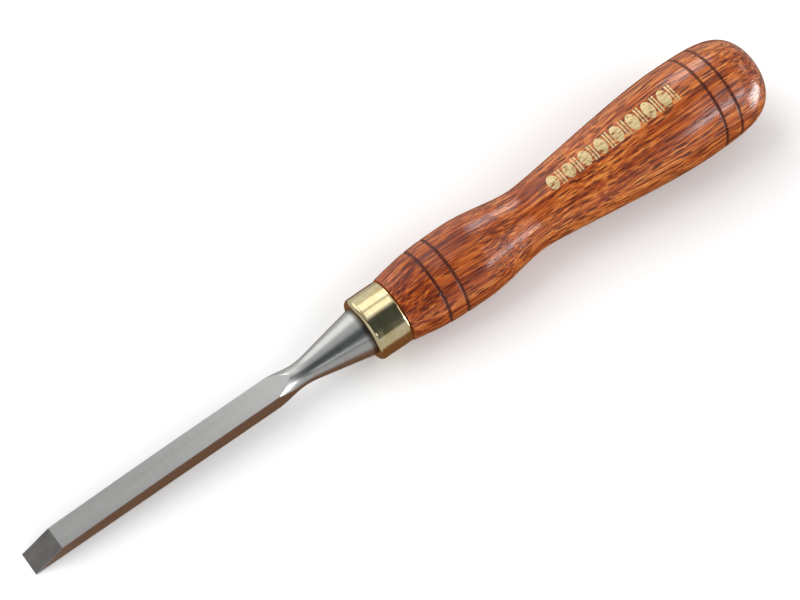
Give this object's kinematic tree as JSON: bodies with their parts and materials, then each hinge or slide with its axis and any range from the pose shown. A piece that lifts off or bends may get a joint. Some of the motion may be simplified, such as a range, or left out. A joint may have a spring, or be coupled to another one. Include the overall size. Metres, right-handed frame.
{
  "type": "carving chisel",
  "caption": "Straight flat carving chisel: a single-bevel bar blade on a round neck and bolster, seated in a brass ferrule on a turned hardwood handle.",
  "frame": {"origin": "on the tool's axis, halfway along the brass ferrule", "axes": "+X along the tool's axis, from the cutting edge to the butt of the handle; +Z out of the bevelled top face of the blade, so -Z points out of its flat back; +Y across the blade"},
  "size_m": [0.2229, 0.027, 0.027],
  "materials": {
    "tool_steel": "ground lengthwise and polished, with fine wheel marks",
    "ferrule_brass": "polished on the lathe",
    "handle_wood": "red-brown hardwood with dark lengthwise pores, under clear gloss lacquer, with burnt grooves"
  },
  "bodies": {
    "root": {"blade": "tool_steel", "ferrule": "ferrule_brass", "handle": "handle_wood"}
  },
  "joints": []
}
